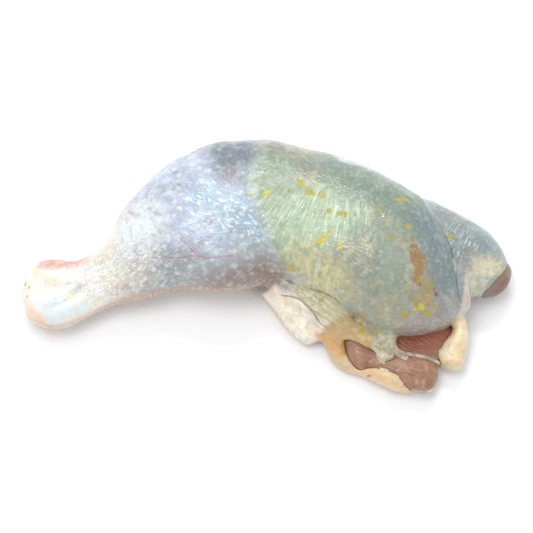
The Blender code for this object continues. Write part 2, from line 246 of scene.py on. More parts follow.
# Loose strips: points, half width, half height, waviness, and the material and the slot they belong to
Strip = namedtuple("Strip", "points half_width half_height waviness finish slot")
STRIPS = {
    "membrane_strand": Strip((
        (58, -39.5, 16), (60, -41.5, 14.3), (63, -42.6, 13.6), (66, -43, 13.4), (70, -43.6, 12.6),
        (74, -44.4, 11.8), (79, -46, 9.5),
    ), 0.85, 0.35, 0.15, "membrane", "skin"),
    "membrane_tail": Strip((
        (57, -40, 16), (59, -42, 14.2), (61, -43.8, 13.8), (64, -45.2, 14.2),
    ), 1.3, 0.3, 0.3, "membrane", "skin"),
    "white_scrap": Strip((
        (66, -56.5, 7.4), (69, -57.6, 7.8), (72, -57.8, 8.0), (75, -57.2, 7.2),
    ), 1.3, 0.6, 0.5, "pale fat", "skin"),
}

# ---------------------------- small tools


def soft_step(values, low, high):
    """0 below low, 1 above high, and smooth between."""
    share = np.clip((values - low) / (high - low), 0, 1)
    return share * share * (3 - 2 * share)


def coordinates(mesh):
    found = np.empty(len(mesh.vertices) * 3, np.float32)
    mesh.vertices.foreach_get("co", found)
    return found.reshape(-1, 3).astype(float)


def vertex_normals(mesh):
    found = np.empty(len(mesh.vertices) * 3, np.float32)
    mesh.vertex_normals.foreach_get("vector", found)
    return found.reshape(-1, 3).astype(float)


def move_vertices(mesh, places):
    mesh.vertices.foreach_set("co", places.astype(np.float32).ravel())
    mesh.update()


def keep_attribute(mesh, name, values):
    """Stores one number a vertex, for the materials and the relief to read."""
    made = mesh.attributes.new(name, "FLOAT", "POINT")
    made.data.foreach_set("value", values.astype(np.float32))


def surface_tree(mesh):
    return bvhtree.BVHTree.FromPolygons(
        [v.co for v in mesh.vertices], [tuple(p.vertices) for p in mesh.polygons]
    )


def finished_mesh(thing):
    """The object's mesh as its modifiers leave it; they are removed."""
    graph = bpy.context.evaluated_depsgraph_get()
    mesh = bpy.data.meshes.new_from_object(thing.evaluated_get(graph))
    thing.modifiers.clear()
    return mesh


def new_object(name, data):
    made = bpy.data.objects.new(name, data)
    bpy.context.scene.collection.objects.link(made)
    return made


def smooth_line(points, step=1.0):
    """Points about a step apart on the Catmull-Rom curve through the given ones."""
    points = np.array(points, float)
    padded = np.vstack((points[0], points, points[-1]))
    found = []
    for a, b, c, d in zip(padded, padded[1:], padded[2:], padded[3:]):
        steps = max(2, math.ceil(np.linalg.norm(c - b) / step))
        rise, bend, twist = c - a, 2 * a - 5 * b + 4 * c - d, 3 * b - a - 3 * c + d
        for share in np.arange(steps) / steps:
            found.append(0.5 * (2 * b + rise * share + bend * share**2 + twist * share**3))
    found.append(points[-1])
    return np.array(found)


def drop(tree, x, y):
    """The point of the surface under this place in plan, in metres."""
    hit, *_ = tree.ray_cast(Vector((x * MM, y * MM, 0.1)), Vector((0, 0, -1)))
    return hit


def dropped_line(tree, points, step=1.0):
    """A smooth line through these places in plan, laid on the surface."""
    hits = [drop(tree, x, y) for x, y in smooth_line(points, step)]
    return np.array([hit for hit in hits if hit is not None])


def distance(places, marks):
    """How far each place is from the nearest mark, measured up to REACH."""
    far = np.full(len(places), REACH)
    low, high = marks.min(0) - REACH, marks.max(0) + REACH
    near = np.flatnonzero(((places > low) & (places < high)).all(1))
    for mark in marks:
        far[near] = np.minimum(far[near], np.linalg.norm(places[near] - mark, axis=1))
    return far


def inside(x, y, outline):
    """How far each place in plan is inside a closed outline; less than nothing outside it."""
    corners = np.array(outline, float)
    gap = np.full(len(x), 1000.0)
    within = np.zeros(len(x), bool)
    for (ax, ay), (bx, by) in zip(corners, np.roll(corners, -1, 0)):
        along = ((x - ax) * (bx - ax) + (y - ay) * (by - ay)) / ((bx - ax) ** 2 + (by - ay) ** 2)
        along = np.clip(along, 0, 1)
        gap = np.minimum(gap, np.hypot(x - ax - along * (bx - ax), y - ay - along * (by - ay)))
        if ay != by:
            within ^= ((ay > y) != (by > y)) & (x < (bx - ax) * (y - ay) / (by - ay) + ax)
    return np.where(within, gap, -gap)


def in_oval(x, y, oval, core):
    """1 within this share of an oval, 0 outside the oval and smooth between."""
    middle_x, middle_y, half_length, half_width = oval
    return soft_step(np.hypot((x - middle_x) / half_length, (y - middle_y) / half_width), 1.0, core)


def patch_mask(x, y, z, patch):
    """1 well inside a patch, 0 well outside it and a half on its outline."""
    plan = np.clip(0.5 + inside(x, y, patch.outline) / (2 * patch.fade), 0, 1)
    return plan * soft_step(z, patch.low - 1, patch.low + 1) * soft_step(z, patch.high + 1, patch.high - 1)


# ---------------------------- the skin's mesh


def even_copy(node, name, cell, passes):
    """A copy of a CAD node with an even, smooth mesh, pressed flat where it lies on the board."""
    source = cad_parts[node]
    copy = new_object(name, source.data.copy())
    copy.data.materials.clear()
    weld = copy.modifiers.new("Weld", "WELD")
    weld.merge_threshold = 0.00001
    even = copy.modifiers.new("Even cells", "REMESH")
    even.mode = "VOXEL"
    even.voxel_size = cell
    soften = copy.modifiers.new("Soften", "SMOOTH")
    soften.factor = 0.5
    soften.iterations = passes
    copy.data = finished_mesh(copy)
    press_flat(copy)
    return copy


def press_flat(thing):
    """Nothing is lower than the board."""
    places = coordinates(thing.data)
    places[:, 2] = np.maximum(places[:, 2], 0)
    move_vertices(thing.data, places)


def thin_out(thing, hidden, share):
    """Leaves fewer faces where nobody sees them: hidden has 1 for such a vertex."""
    group = thing.vertex_groups.new(name="hidden")
    group.add([int(i) for i in np.flatnonzero(hidden)], 1, "REPLACE")
    thin = thing.modifiers.new("Thin", "DECIMATE")
    thin.ratio = 1 - share * hidden.mean()
    thin.vertex_group = group.name
    thin.vertex_group_factor = 1000
    thing.data = finished_mesh(thing)
    thing.vertex_groups.clear()


def inner_wall(mesh, flesh_tree):
    """1 for the vertices that face the flesh from close by or lie on the board."""
    places, normals = coordinates(mesh), vertex_normals(mesh)
    hidden = (places[:, 2] < 0.2 * MM) & (normals[:, 2] < -0.9)
    for i, (place, normal) in enumerate(zip(places, normals)):
        hit, _, _, gap = flesh_tree.find_nearest(Vector(place), HIDDEN_WALL)
        if hit is not None and gap > 0 and (hit - Vector(place)).dot(Vector(normal)) > 0.5 * gap:
            hidden[i] = True
    return hidden


def past_hip(x, y):
    """How far a place in plan is beyond the crease between the thigh and the hip's lobe."""
    return x - np.interp(y, *zip(*sorted((b, a) for a, b in CREASES["hip"].points)))


def mark_spots(mesh, places, name, spots):
    """Stores 1 in the middle of the spots and a little over a half on their edges."""
    shown = np.zeros(len(places))
    for x, y, radius in spots:
        middle = drop(OUTER, x, y)
        if middle is not None:
            gap = np.linalg.norm(places - np.array(middle), axis=1) / MM
            shown = np.maximum(shown, np.clip(1.15 - 0.55 * gap / radius, 0, 1))
    keep_attribute(mesh, name, shown)


def strongest(masks, *names):
    """The greatest of these masks at each place."""
    return np.max([masks[name] for name in names], axis=0)


def tint_masks(places, normals):
    """Where the skin's tints lie, painted shade and highlight among them."""
    x, y, z = (places / MM).T
    up = normals[:, 2]
    masks = {name: patch_mask(x, y, z, patch) for name, patch in PATCHES.items()}
    # The border at the knee is ragged, with a pale fringe on the thigh's side.
    knee = x - np.interp(y, *zip(*KNEE_LINE)) + 1.3 * np.sin(0.9 * y) + 0.9 * np.sin(2.3 * y + 1)
    masks["drumstick"] = soft_step(knee, 3, -2.5)
    masks["fringe"] = np.exp(-(((knee - 2.5) / 3.5) ** 2)) * soft_step(y, -2, 6)
    masks["lobe"] = soft_step(past_hip(x, y), -0.3, 0.6) * (x > LOBE_START) * (y > LOBE_NEAR_EDGE)
    # The drumstick's sides, turning under from the light, are painted a warm shade, more so towards the
    # knuckle.
    rim = 0.38 + 0.15 * soft_step(x, -40, -58)
    masks["side_shade"] = soft_step(up, rim, rim - 0.4) * masks["drumstick"] * (1 - 0.4 * masks["lower_rim_shade"])
    masks["underside"] = soft_step(up, -0.1, -0.5)
    masks["blush"] *= soft_step(up, -0.35, 0.15)
    # The fat lobe's steeper sides are painted darker, as shade.
    masks["fat_side_shade"] = masks["fat_lobe"] * soft_step(up, 0.85, 0.45)
    vessels = np.min([distance(places, dropped_line(OUTER, line, 0.5)) for line in VESSELS], axis=0)
    masks["vessels"] = np.clip(1 - vessels / (0.9 * MM), 0, 1)
    return masks


def pattern_masks(places, tints, outside):
    """Where the skin's patterns lie; outside is 0 for the vertices that nobody sees."""
    x, y, _ = (places / MM).T
    drumstick, knuckle = tints["drumstick"], tints["knuckle"]
    folds = soft_step(strongest(tints, "knee_fold", "belly", "fat_lobe", "scrap", "sliver"), 0.3, 0.7)
    calm = (1 - folds) * outside
    masks = {"fatty": folds * outside, "waxy": knuckle * (1 - 0.75 * tints["blush"])}
    masks["mottled"] = (1 - 0.9 * knuckle - 0.4 * drumstick * (1 - knuckle)) * (1 - 0.7 * folds)
    masks["pored"] = drumstick * soft_step(x, -76, -54) * calm
    masks["pored"] *= 1 - 0.65 * strongest(tints, "mauve", "far_edge_shade", "lower_rim_shade")
    masks["pored"] *= 1 - soft_step(tints["side_shade"], 0.1, 0.6)
    masks["creped"] = in_oval(x, y, WRINKLED_NECK, core=0.4) * drumstick * calm
    masks["streaked"] = in_oval(x, y, STREAKED_LOBE, core=0.5) * tints["lobe"] * calm
    masks["ridged"] = soft_step(np.maximum(tints["fan"], 0.8 * tints["honey"]), 0.2, 0.9)
    masks["ridged"] *= (1 - drumstick) * calm
    masks["draped"] = soft_step(tints["web"], 0.3, 0.8) * outside
    thigh = (1 - drumstick) * (1 - 0.7 * masks["ridged"]) * (1 - masks["draped"])
    masks["pebbled"] = np.maximum(thigh, 0.6 * folds) * outside
    masks["creamy"] = masks["pebbled"] * (1 - strongest(tints, "teal", "slate", "lime"))
    tear = distance(places, dropped_line(OUTER, TEAR_LINE, 0.7))
    masks["tattered"] = np.maximum(tints["scrap"], 0.8 * soft_step(tear, 2.5 * MM, 0.5 * MM))
    return masks


def mark_skin(mesh):
    """Stores where every tint, pattern, fleck and stain of the skin lies, one number a vertex for each."""
    places = coordinates(mesh)
    outside = 1 - inner_wall(mesh, FLESH_SURFACE).astype(float)
    tints = tint_masks(places, vertex_normals(mesh))
    for name, mask in (tints | pattern_masks(places, tints, outside)).items():
        keep_attribute(mesh, name, mask)
    for name, spots in SPOTS.items():
        mark_spots(mesh, places, name, spots)


def crease_skin(mesh):
    """Presses the creases in, with a shallow bank on both sides.

    The skin past a crease with a step is lower: that of the hip's lobe is below the thigh's edge.
    """
    places, normals = coordinates(mesh), vertex_normals(mesh)
    crease_shade = np.zeros(len(places))
    outside = 1 - inner_wall(mesh, FLESH_SURFACE).astype(float)
    beyond = soft_step(past_hip(*(places[:, :2] / MM).T), -0.6, 1.0)
    for points, depth, half_width, step in CREASES.values():
        gap = distance(places, dropped_line(OUTER, points, 0.7)) / (half_width * MM)
        share = np.exp(-gap * gap)
        bank = np.exp(-((gap - 2.4) ** 2)) * 0.25
        slope = np.exp(-gap / 5) * beyond * step
        places -= normals * (((share - bank) * depth + slope) * MM * outside)[:, None]
        # Deeper creases keep a mask for the painted shade line along them
        if depth > DARK_DEPTH:
            crease_shade = np.maximum(crease_shade, share)
    move_vertices(mesh, places)
    keep_attribute(mesh, "crease_shade", crease_shade)


# ---------------------------- node trees


def linear(colour):
    """A hex sRGB colour as the linear RGBA that Blender works in."""
    found = []
    for i in (1, 3, 5):
        part = int(colour[i : i + 2], 16) / 255
        found.append(part / 12.92 if part <= 0.04045 else ((part + 0.055) / 1.055) ** 2.4)
    return (*found, 1)


def add_node(tree, kind, settings=None, inputs=None):
    """Adds a node, sets its properties, and sets or links its inputs; returns it.

    A node given as an input stands for its first output.
    """
    made = tree.nodes.new(kind)
    for name, value in (settings or {}).items():
        setattr(made, name, value)
    for key, value in (inputs or {}).items():
        if isinstance(value, bpy.types.Node):
            value = value.outputs[0]
        if isinstance(value, bpy.types.NodeSocket):
            tree.links.new(value, made.inputs[key])
        else:
            made.inputs[key].default_value = value
    return made


# Settings of the math nodes and of the map range nodes
ADD, SUBTRACT, MULTIPLY, DIVIDE, MULTIPLY_ADD, SCALE = (
    {"operation": name} for name in ("ADD", "SUBTRACT", "MULTIPLY", "DIVIDE", "MULTIPLY_ADD", "SCALE")
)
SMOOTH = {"interpolation_type": "SMOOTHSTEP"}


def new_material(name):
    """A material, its tree, its shader and the places that its patterns are drawn at."""
    made = bpy.data.materials.new(name)
    made.use_nodes = True
    tree = made.node_tree
    place = add_node(tree, "ShaderNodeTexCoord").outputs["Object"]
    return made, tree, tree.nodes["Principled BSDF"], place


def crinkle(tree, noise_inputs):
    """Rounded folds with sharp valleys between them, from a noise with these inputs."""
    noise = add_node(tree, "ShaderNodeTexNoise", None, noise_inputs)
    centred = add_node(tree, "ShaderNodeMath", SUBTRACT, {0: noise, 1: 0.5})
    folded = add_node(tree, "ShaderNodeMath", {"operation": "ABSOLUTE"}, {0: centred})
    clamped = {"operation": "MULTIPLY", "use_clamp": True}
    return add_node(tree, "ShaderNodeMath", clamped, {0: folded, 1: 5.0})


def new_tree(name, sizes):
    """A Geometry Nodes tree whose inputs are a geometry, these sizes, a seed and a material."""
    tree = bpy.data.node_groups.new(name, "GeometryNodeTree")
    kinds = {"Geometry": "Geometry", **dict.fromkeys(sizes, "Float"), "Seed": "Int", "Material": "Material"}
    for socket, kind in kinds.items():
        tree.interface.new_socket(socket, in_out="INPUT", socket_type="NodeSocket" + kind)
    tree.interface.new_socket("Geometry", in_out="OUTPUT", socket_type="NodeSocketGeometry")
    return tree, add_node(tree, "NodeGroupInput").outputs


def end_tree(tree, geometry, offset, material):
    """Moves the geometry's vertices by the offset and gives it its material."""
    moved = add_node(tree, "GeometryNodeSetPosition", None, {"Geometry": geometry, "Offset": offset})
    real = add_node(tree, "GeometryNodeRealizeInstances", None, {"Geometry": moved})
    finish = {"Geometry": real, "Material": material}
    dressed = add_node(tree, "GeometryNodeSetMaterial", None, finish)
    add_node(tree, "NodeGroupOutput", None, {0: dressed})


# The relief's sizes: each is an input of the tree.
RELIEF_SIZES = {
    "Follicle spacing": 3.5 * MM,
    "Follicle radius": 1.6 * MM,
    "Follicle height": 0.25 * MM,
    "Ridge width": 2.7 * MM,
    "Ridge length": 19 * MM,
    "Ridge height": 0.5 * MM,
    "Wrinkle width": 3.2 * MM,
    "Wrinkle length": 12 * MM,
    "Wrinkle height": 0.5 * MM,
    "Pebble size": 4.0 * MM,
    "Pebble height": 0.35 * MM,
    "Swell size": 13 * MM,
    "Swell height": 1.0 * MM,
    "Tatter size": 2.6 * MM,
    "Tatter height": 2.4 * MM,
}
RIDGE_CENTRE = (41 * MM, 66 * MM, 0)  # the thigh's ridges fan out from here
RIDGE_RADIUS = 55 * MM  # and are as wide as their size says this far from it
WRINKLE_TURN = math.radians(37)  # the neck's wrinkles run along it


def follicle_domes(tree, size, place, pored):
    """A dome at each follicle, and how far each place is from the nearest one, in millimetres.

    Follicles sit on points spread over the drumstick, never nearer than their spacing.
    """
    scatter = {
        "Mesh": size["Geometry"],
        "Selection": pored,
        "Distance Min": size["Follicle spacing"],
        "Density Max": 1000000.0,  # a square metre
        "Density Factor": pored,
        "Seed": size["Seed"],
    }
    dots = add_node(tree, "GeometryNodeDistributePointsOnFaces", {"distribute_method": "POISSON"}, scatter)
    search = {"Geometry": dots.outputs["Points"], "Sample Position": place}
    nearest = add_node(tree, "GeometryNodeProximity", {"target_element": "POINTS"}, search)
    away = nearest.outputs["Distance"]
    rise = {"Value": away, "From Min": size["Follicle radius"], "From Max": 0.0}
    dome = add_node(tree, "ShaderNodeMapRange", {"interpolation_type": "SMOOTHERSTEP"}, rise)
    return dome, add_node(tree, "ShaderNodeMath", MULTIPLY, {0: away, 1: 1 / MM})


def ray_places(tree, size, place):
    """Where each place is among the ridges: how far round their centre, and how far out from it."""
    from_centre = add_node(tree, "ShaderNodeVectorMath", SUBTRACT, {0: place, 1: RIDGE_CENTRE})
    parts = add_node(tree, "ShaderNodeSeparateXYZ", None, {0: from_centre}).outputs
    turn = add_node(tree, "ShaderNodeMath", {"operation": "ARCTAN2"}, {0: parts["Y"], 1: parts["X"]})
    arc = add_node(tree, "ShaderNodeMath", MULTIPLY, {0: turn, 1: RIDGE_RADIUS})
    out = add_node(tree, "ShaderNodeVectorMath", {"operation": "LENGTH"}, {0: from_centre}).outputs["Value"]
    rays = []
    for value, length in ((arc, "Ridge width"), (out, "Ridge length"), (parts["Z"], "Ridge length")):
        rays.append(add_node(tree, "ShaderNodeMath", DIVIDE, {0: value, 1: size[length]}))
    return add_node(tree, "ShaderNodeCombineXYZ", None, dict(enumerate(rays)))


def wrinkle_places(tree, size, place):
    """Where each place is among the wrinkles, which are drawn out along the neck."""
    turned = {"Vector": place, "Angle": -WRINKLE_TURN}
    along = add_node(tree, "ShaderNodeVectorRotate", {"rotation_type": "Z_AXIS"}, turned)
    length, width = size["Wrinkle length"], size["Wrinkle width"]
    wrinkle_size = add_node(tree, "ShaderNodeCombineXYZ", None, {0: length, 1: width, 2: width})
    return add_node(tree, "ShaderNodeVectorMath", DIVIDE, {0: along, 1: wrinkle_size})


def relief_tree():
    """Raises the skin's patterns along its normals, and keeps two of them for the material."""
    tree, size = new_tree("Skin relief", RELIEF_SIZES)
    place = add_node(tree, "GeometryNodeInputPosition")
    masks = {}
    number = {"data_type": "FLOAT"}
    for name in ("pored", "ridged", "creped", "pebbled", "underside", "tattered"):
        masks[name] = add_node(tree, "GeometryNodeInputNamedAttribute", number, {"Name": name})
    dome, gap = follicle_domes(tree, size, place, masks["pored"])
    rays = ray_places(tree, size, place)
    noises = {}
    for name, where in (("ridge", rays), ("wrinkle", wrinkle_places(tree, size, place))):
        noises[name] = crinkle(tree, {"Vector": where, "Scale": 1.0, "Detail": 1.0, "Distortion": 0.4})
    for name, length in (("pebble", "Pebble size"), ("swell", "Swell size"), ("tatter", "Tatter size")):
        scaled = add_node(tree, "ShaderNodeVectorMath", DIVIDE, {0: place, 1: size[length]})
        noise = {"Vector": scaled, "Scale": 1.0, "Detail": 1.0}
        noises[name] = add_node(tree, "ShaderNodeTexNoise", None, noise)
    exposed = add_node(tree, "ShaderNodeMath", SUBTRACT, {0: 1.0, 1: masks["underside"]})
    # Each pattern is centred on nought, raised to its height and kept to its own region.
    lift = 0.0
    for pattern, middle, height, mask in (
        (dome, 0.15, "Follicle height", masks["pored"]),
        (noises["ridge"], 0.5, "Ridge height", masks["ridged"]),
        (noises["wrinkle"], 0.5, "Wrinkle height", masks["creped"]),
        (noises["pebble"], 0.5, "Pebble height", masks["pebbled"]),
        (noises["swell"], 0.5, "Swell height", exposed),
        (noises["tatter"], 0.5, "Tatter height", masks["tattered"]),
    ):
        centred = add_node(tree, "ShaderNodeMath", SUBTRACT, {0: pattern, 1: middle})
        raised = add_node(tree, "ShaderNodeMath", MULTIPLY, {0: centred, 1: size[height]})
        lift = add_node(tree, "ShaderNodeMath", MULTIPLY_ADD, {0: raised, 1: mask, 2: lift})
    normal = add_node(tree, "GeometryNodeInputNormal")
    offset = add_node(tree, "ShaderNodeVectorMath", SCALE, {0: normal, "Scale": lift})
    kept = size["Geometry"]
    for name, value, kind in (("follicle gap", gap, "FLOAT"), ("rays", rays, "FLOAT_VECTOR")):
        stored = {"Geometry": kept, "Name": name, "Value": value}
        kept = add_node(tree, "GeometryNodeStoreNamedAttribute", {"data_type": kind}, stored)
    end_tree(tree, kept, offset, size["Material"])
    return tree


def strip_tree():
    """A flat oval strip swept along a curve, thinner to its ends and wavy, closed at both ends."""
    tree, size = new_tree("Loose strip", ("Half width", "Half height", "Waviness"))
    spaced = {"Curve": size["Geometry"], "Length": STRIP_STEP}
    even = add_node(tree, "GeometryNodeResampleCurve", {"mode": "LENGTH"}, spaced)
    level = add_node(tree, "GeometryNodeSetCurveNormal", {"mode": "Z_UP"}, {"Curve": even})
    # From -1 at one end to 1 at the other
    share = add_node(tree, "GeometryNodeSplineParameter").outputs["Factor"]
    along = add_node(tree, "ShaderNodeMath", MULTIPLY_ADD, {0: share, 1: 2.0, 2: -1.0})
    steep = add_node(tree, "ShaderNodeMath", {"operation": "POWER"}, {0: along, 1: 4.0})
    full = add_node(tree, "ShaderNodeMath", MULTIPLY_ADD, {0: steep, 1: -STRIP_TAPER, 2: 1.0})
    tapered = add_node(tree, "GeometryNodeSetCurveRadius", None, {"Curve": level, "Radius": full})
    circle = add_node(tree, "GeometryNodeCurvePrimitiveCircle", None, {"Resolution": 14, "Radius": 1.0})
    sides = {0: size["Half width"], 1: size["Half height"], 2: 1.0}
    oval = add_node(tree, "ShaderNodeCombineXYZ", None, sides)
    flattened = {"Geometry": circle.outputs["Curve"], "Scale": oval}
    profile = add_node(tree, "GeometryNodeTransform", None, flattened)
    sweep = {"Curve": tapered, "Profile Curve": profile, "Fill Caps": True}
    swept = add_node(tree, "GeometryNodeCurveToMesh", None, sweep)
    place = add_node(tree, "GeometryNodeInputPosition")
    noise = {"Vector": place, "W": size["Seed"], "Scale": 1 / STRIP_WAVE, "Detail": 2.0}
    wander = add_node(tree, "ShaderNodeTexNoise", {"noise_dimensions": "4D"}, noise).outputs["Color"]
    centred = add_node(tree, "ShaderNodeVectorMath", SUBTRACT, {0: wander, 1: (0.5, 0.5, 0.5)})
    offset = add_node(tree, "ShaderNodeVectorMath", SCALE, {0: centred, "Scale": size["Waviness"]})
    end_tree(tree, swept, offset, size["Material"])
    return tree


def run_tree(thing, tree, **inputs):
    """Runs a Geometry Nodes tree on the object with these inputs; returns the mesh that comes out."""
    modifier = thing.modifiers.new(tree.name, "NODES")
    modifier.node_group = tree
    for socket in tree.interface.items_tree:
        if socket.in_out == "INPUT" and socket.name in inputs:
            modifier[socket.identifier] = inputs[socket.name]
    return finished_mesh(thing)


# ---------------------------- materials

# The skin's tints over each other, from first to last: attribute, colour, how much it covers, and how far
# its edge wanders. Colours are those of wet skin over blue muscle, over yellow fat or over nothing, except
# the glint and the painted shade, painted highlight and painted rim glow marked below. Along the leg the
# tints also run from near white at the knuckle to dark at the hip end, partly as painted light falling off.
SKIN_LAYERS = (
    ("fan", "#cbe5be", 0.75, 1.0),
    ("lime", "#7e9471", 0.7, 1.0),
    ("grey_back", "#818576", 0.7, 0.8),
    ("teal", "#638471", 0.8, 0.8),
    ("honey", "#d6ce8c", 0.8, 1.2),
    ("cool", "#7d8e7c", 0.7, 1.2),
    ("slate", "#597883", 0.8, 0.8),
    ("lilac", "#9b888f", 0.7, 1.0),
    ("fringe", "#bfd1c0", 0.7, 1.2),
    ("drumstick", "#b9c0d1", 1.0, 1.8),
    # painted highlight patch on the drumstick's top: a bluish tint under painted white glints
    ("drum_highlight", "#90b0ba", 0.7, 1.2),
    # painted shade on the drumstick's far top edge
    ("far_edge_shade", "#555749", 0.4, 0.8),
    ("mauve", "#626c72", 0.9, 1.0),
    ("mauve_core", "#8b8183", 0.6, 1.2),
    # painted shade on the drumstick's lower side
    ("lower_side_shade", "#9a9c96", 0.75, 1.0),
    # painted shade in the neck's hollow
    ("hollow", "#9aa3aa", 0.5, 1.2),
    ("neck", "#f6e6c4", 0.7, 1.0),
    ("shin", "#e9f3f4", 0.8, 1.0),
    ("knuckle", "#fdf8ec", 0.95, 0.8),
    # painted highlight on the knuckle's lower knob
    ("knob_highlight", "#d8ecee", 0.8, 1.0),
    # painted shade in the knuckle's groove
    ("groove_shade", "#b3bfbe", 0.7, 1.2),
    ("blush", "#d58671", 0.9, 1.2),
    ("peach_end", "#efba90", 0.8, 1.2),
    ("glint", "#cdd6e8", 0.8, 0.8),
    # painted shade along the drumstick's lower rim
    ("lower_rim_shade", "#866656", 0.8, 0.8),
    ("lobe", "#8a9898", 1.0, 0.2),
    ("lobe_cream", "#f7edc3", 0.72, 1.0),
    # bared flesh's brown with painted shade at the hip lobe's end
    ("lobe_end_flesh_and_shade", "#90755c", 0.8, 0.8),
    # painted warm rim glow on the thigh's far edge
    ("thigh_edge_glow", "#c3936d", 0.6, 1.0),
    ("back_scrap", "#d5dcd0", 0.8, 0.8),
    ("web", "#d4cca1", 0.95, 0.4),
    ("knee_fold", "#fff2de", 1.0, 0.2),
    ("fold_tip", "#fff2de", 1.0, 0.2),
    ("belly", "#edc794", 1.0, 0.2),
    ("rolled", "#bc9a55", 0.85, 0.6),
    ("amber", "#d89f4f", 0.92, 1.2),
    ("fat_lobe", "#ffdfb0", 1.0, 0.2),
    # painted shade on the fat lobe's steeper sides
    ("fat_side_shade", "#dcd6ac", 0.6, 0.8),
    ("scrap", "#c6be9b", 0.95, 0.4),
    ("sliver", "#d5c5ba", 0.85, 0.2),
    # painted warm shade on the sides that turn under
    ("side_shade", "#cf9870", 0.65, 1.2),
    ("underside", "#dcc3a4", 0.75, 1.2),
)
# Small marks on the tints, with crisper edges
SKIN_MARKS = (
    # a stain, and painted warm rim glow on the drumstick's far edge
    ("stain_and_edge_glow", "#9a6b26", 0.8, 2.6),
    ("ochre", "#a58824", 0.65, 2.8),
    ("mustard", "#b0a11c", 0.9, 2.6),
    ("yolk", "#cbbd10", 1.0, 2.2),
    ("blood", "#8a3f33", 0.8, 1.6),
    ("vessels", "#a85a80", 0.5, 1.2),
    # painted shade: a dark line along the deeper creases
    ("crease_shade", "#5d4636", 0.5, 0.8),
)
# On the bare flesh: deep muscle is redder, and that of the hip is browner, with a silvery film over it.
FLESH_LAYERS = (
    ("deep", "#9e583d", 0.9, 1.0), ("hip", "#764a33", 0.85, 0.6), ("silver", "#a08f7c", 0.55, 1.4),
)
# Grain of the skin's colour and surface
SKIN_GRAIN = {"drift": 8 * MM, "mottle": 4 * MM, "wander": 2.2 * MM, "fine": 0.9 * MM}
PEBBLE = 3.1 * MM
# Fine folds of the skin: the way they run in plan, their length and their width
SKIN_FOLDS = (
    ("crepe", math.radians(-25), 3.5 * MM, 1.6 * MM),
    ("wrinkle", WRINKLE_TURN, 6 * MM, 1.5 * MM),
    ("streak", math.radians(60), 7 * MM, 1.4 * MM),
    ("drape", math.radians(-30), 14 * MM, 1.6 * MM),
)
# How the patterns tint their regions: pattern, from which value to which, region, how much and colour.
# Follicles show as pale dots, and drift, mottle and wander vary the tone at random. Those on the folds,
# ridges and pebbles paint light on the relief: valleys of folds and borders of pebbles are painted darker
# as shade, and the tops of folds, ridges and pebbles paler as painted highlight, with near-white painted
# glints on the drumstick's highlight patch.
SKIN_RULES = (
    ("drift", 0.0, 0.14, "waxy", 0.6, "#d5e9ee"),
    ("drift", 0.0, -0.14, "waxy", 0.6, "#f3ddb2"),
    ("mottle", 0.0, 0.14, "waxy", 0.4, "#efcfc0"),
    ("mottle", 0.0, 0.15, "fatty", 0.35, "#f0c7a2"),
    ("drift", 0.0, -0.16, "fatty", 0.3, "#e2dcb2"),
    ("mottle", 0.0, -0.16, "pored", 0.32, "#a9a0b8"),
    ("mottle", 0.0, 0.16, "pored", 0.32, "#d4eaec"),
    ("follicle gap", 1.8, 0.3, "pored", 0.6, "#e9ebde"),
    ("pebble", 0.5, 0.1, "lower_side_shade", 0.5, "#cdd1c0"),
    ("crepe", 0.4, 0.0, "drum_highlight", 0.4, "#93a5b4"),
    ("crepe", 0.5, 0.95, "drum_highlight", 0.75, "#effcff"),
    ("crepe", 0.35, 0.0, "mottled", 0.26, "#817c76"),
    ("crepe", 0.6, 1.0, "mottled", 0.18, "#e6e4d4"),
    ("thin ridge", 0.55, 0.0, "ridged", 0.35, "#858662"),
    ("ridge", 0.35, 0.9, "ridged", 0.5, "#eaf5e0"),
    ("wrinkle", 0.45, 0.0, "creped", 0.36, "#948f88"),
    ("wrinkle", 0.55, 1.0, "creped", 0.45, "#f2f6f6"),
    ("streak", 0.45, 0.0, "streaked", 0.4, "#6d7b7c"),
    ("streak", 0.5, 0.95, "streaked", 0.6, "#deeae8"),
    ("drape", 0.4, 0.0, "draped", 0.4, "#94875f"),
    ("pebble", 0.35, 0.75, "pebbled", 0.16, "#8b8a7a"),
    ("pebble", 0.3, 0.05, "pebbled", 0.15, "#dedccb"),
    ("drift", 0.0, 0.16, "creamy", 0.28, "#c2af7e"),
    ("drift", 0.0, -0.12, "creamy", 0.25, "#a9bcae"),
    ("mottle", 0.0, -0.18, "mottled", 0.16, "#857a70"),
    ("mottle", 0.0, 0.18, "mottled", 0.12, "#f2efe0"),
    ("wander", 0.0, -0.2, "mottled", 0.1, "#7f776f"),
    ("wander", 0.0, 0.2, "mottled", 0.09, "#fffdf5"),
    ("wander", 0.05, -0.15, "tattered", 0.5, "#8d7a60"),
)
# How high the patterns stand: pattern, region and height in millimetres
SKIN_RELIEFS = (
    ("fine", "everywhere", 0.05),
    ("wander", "everywhere", 0.3),
    ("crepe", "everywhere", 0.12),
    ("thin ridge", "ridged", 0.32),
    ("wrinkle", "creped", 0.22),
    ("streak", "streaked", 0.35),
    ("drape", "draped", 0.3),
    ("pebble", "pebbled", -0.2),
)
# The skin's regions that have a pattern of their own
SKIN_REGIONS = (
    "pored", "ridged", "creped", "streaked", "draped", "pebbled", "fatty", "waxy", "mottled",
    "creamy", "tattered", "lower_side_shade", "drum_highlight", "follicle gap",
)


def streaked(tree, place, turn, length, width):
    """Folds drawn out along a direction in plan, with sharp valleys between them."""
    drawn = {"Vector": place, "Rotation": (0, 0, turn), "Scale": (length, width, width)}
    along = add_node(tree, "ShaderNodeMapping", {"vector_type": "TEXTURE"}, drawn)
    return crinkle(tree, {"Vector": along, "Scale": 1.0, "Detail": 2.0})


